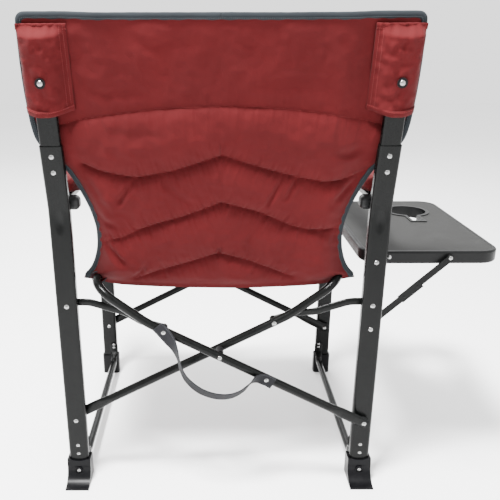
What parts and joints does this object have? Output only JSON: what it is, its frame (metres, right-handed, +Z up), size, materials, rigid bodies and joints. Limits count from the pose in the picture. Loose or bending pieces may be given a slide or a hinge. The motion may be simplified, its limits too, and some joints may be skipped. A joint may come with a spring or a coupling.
{
  "type": "folding camp chair",
  "caption": "Padded director's camp chair with a reclined sling back, padded arms, a scissor frame that folds flat sideways, and a side table with a cup hole that folds down.",
  "frame": {"origin": "on the floor, under the centre of the bounding box", "axes": "+Z up, the sitter faces -Y, the sitter's left is +X and the table is on -X"},
  "size_m": [0.877, 0.5816, 0.9104],
  "materials": {
    "frame_metal": "hammertone powder coat, satin",
    "black_plastic": "matte black",
    "foot_plastic": "glossy black",
    "red_fabric": "woven polyester, matte",
    "trim_fabric": "grey binding",
    "webbing": "woven webbing",
    "table_edge": "black, fine grain",
    "table_grey": "grey, fine grain",
    "rivet_steel": "bright"
  },
  "bodies": {
    "left_frame": {"rear_leg_left": "frame_metal", "back_post_left": "frame_metal", "post_cap_left": "black_plastic", "front_leg_left": "frame_metal", "arm_tube_left": "frame_metal", "arm_elbow_left": "black_plastic", "arm_bracket_left": "black_plastic", "arm_pad_left": "red_fabric", "base_rail_left": "frame_metal", "rear_foot_left": "foot_plastic", "front_foot_left": "foot_plastic", "frame_rivets_left": "rivet_steel", "back_screw_left": "rivet_steel", "pivot_pins_left": "rivet_steel", "pivot_spacers_left": "black_plastic", "back_sleeve_left": "red_fabric"},
    "right_frame": {"rear_leg_right": "frame_metal", "back_post_right": "frame_metal", "post_cap_right": "black_plastic", "front_leg_right": "frame_metal", "arm_tube_right": "frame_metal", "arm_elbow_right": "black_plastic", "arm_bracket_right": "black_plastic", "arm_pad_right": "red_fabric", "base_rail_right": "frame_metal", "rear_foot_right": "foot_plastic", "front_foot_right": "foot_plastic", "frame_rivets_right": "rivet_steel", "back_screw_right": "rivet_steel", "pivot_pins_right": "rivet_steel", "pivot_spacers_right": "black_plastic", "back_sleeve_right": "red_fabric", "table_pins": "rivet_steel"},
    "cross_a": {"cross_leg_a_rear": "frame_metal", "cross_leg_a_front": "frame_metal", "seat_rail_a": "frame_metal", "centre_pivots": "rivet_steel", "centre_spacers": "black_plastic", "link_pin_left": "rivet_steel", "carry_strap": "webbing", "strap_rivet": "rivet_steel", "seat_sleeve_left": "trim_fabric"},
    "cross_b": {"cross_leg_b_rear": "frame_metal", "cross_leg_b_front": "frame_metal", "seat_rail_b": "frame_metal", "link_pin_right": "rivet_steel", "seat_sleeve_right": "trim_fabric"},
    "link_left": {"link_left": "frame_metal"},
    "link_right": {"link_right": "frame_metal"},
    "seat_left": {"seat_panel_left": "red_fabric"},
    "seat_right": {"seat_panel_right": "red_fabric"},
    "back_left": {"back_panel_left": "red_fabric"},
    "back_right": {"back_panel_right": "red_fabric"},
    "table": {"table_frame": "table_edge", "table_deck": "table_edge", "table_top": "table_grey", "cup_ring": "table_edge", "table_rivets": "rivet_steel"},
    "strut_lower": {"strut_lower": "frame_metal"},
    "strut_upper": {"strut_upper": "frame_metal"}
  },
  "joints": [
    {"name": "fold", "type": "hinge", "parent": "left_frame", "child": "cross_b", "pos_m": [0.4035, 0.18853, 0.1406], "axis": [0, 1, 0], "range_deg": [0, 47.68]},
    {"name": "scissor", "type": "hinge", "parent": "cross_b", "child": "cross_a", "pos_m": [0.1085, 0.20803, 0.293], "axis": [0, -1, 0], "range_deg": [0, 95.38]},
    {"name": "right_fold", "type": "hinge", "parent": "cross_a", "child": "right_frame", "pos_m": [-0.1865, 0.22753, 0.1406], "axis": [0, 1, 0], "range_deg": [0, 47.69]},
    {"name": "link_left_swing", "type": "hinge", "parent": "left_frame", "child": "link_left", "pos_m": [0.4035, 0.19303, 0.39504], "axis": [0, 1, 0], "range_deg": [0, 87.43]},
    {"name": "link_right_swing", "type": "hinge", "parent": "right_frame", "child": "link_right", "pos_m": [-0.1865, 0.19303, 0.39504], "axis": [0, -1, 0], "range_deg": [0, 87.43]},
    {"name": "seat_left_swing", "type": "hinge", "parent": "cross_a", "child": "seat_left", "pos_m": [0.3475, -0.02597, 0.44], "axis": [0, -1, 0], "range_deg": [0, 26.15], "deforming": ["seat_panel_left"]},
    {"name": "seat_right_swing", "type": "hinge", "parent": "cross_b", "child": "seat_right", "pos_m": [-0.1305, -0.02597, 0.44], "axis": [0, 1, 0], "range_deg": [0, 26.15], "deforming": ["seat_panel_right"]},
    {"name": "back_left_swing", "type": "hinge", "parent": "left_frame", "child": "back_left", "pos_m": [0.4035, 0.20803, 0.585], "axis": [0, -0.2011, -0.9796], "range_deg": [0, 73.28], "deforming": ["back_panel_left"]},
    {"name": "back_right_swing", "type": "hinge", "parent": "right_frame", "child": "back_right", "pos_m": [-0.1865, 0.20803, 0.585], "axis": [0, 0.2011, 0.9796], "range_deg": [0, 73.28], "deforming": ["back_panel_right"]},
    {"name": "table_fold", "type": "hinge", "parent": "right_frame", "child": "table", "pos_m": [-0.1865, 0.18603, 0.483], "axis": [0, -1, 0], "range_deg": [0, 90]},
    {"name": "strut_lower_swing", "type": "hinge", "parent": "right_frame", "child": "strut_lower", "pos_m": [-0.1865, 0.19553, 0.345], "axis": [0, -1, 0], "range_deg": [0, 132.81]},
    {"name": "strut_upper_swing", "type": "hinge", "parent": "table", "child": "strut_upper", "pos_m": [-0.3355, 0.19253, 0.483], "axis": [0, 1, 0], "range_deg": [0, 137.21]}
  ],
  "couplings": [
    {"joint": "scissor", "follows": "fold", "ratio": 2},
    {"joint": "right_fold", "follows": "fold", "ratio": 1},
    {"joint": "link_left_swing", "follows": "fold", "ratio": 1.8336},
    {"joint": "link_right_swing", "follows": "fold", "ratio": 1.8336},
    {"joint": "seat_left_swing", "follows": "fold", "ratio": 0.54831},
    {"joint": "seat_right_swing", "follows": "fold", "ratio": 0.54831},
    {"joint": "back_left_swing", "follows": "fold", "ratio": 1.5367},
    {"joint": "back_right_swing", "follows": "fold", "ratio": 1.5367},
    {"joint": "strut_lower_swing", "follows": "table_fold", "ratio": 1.4756},
    {"joint": "strut_upper_swing", "follows": "table_fold", "ratio": 1.5244}
  ]
}
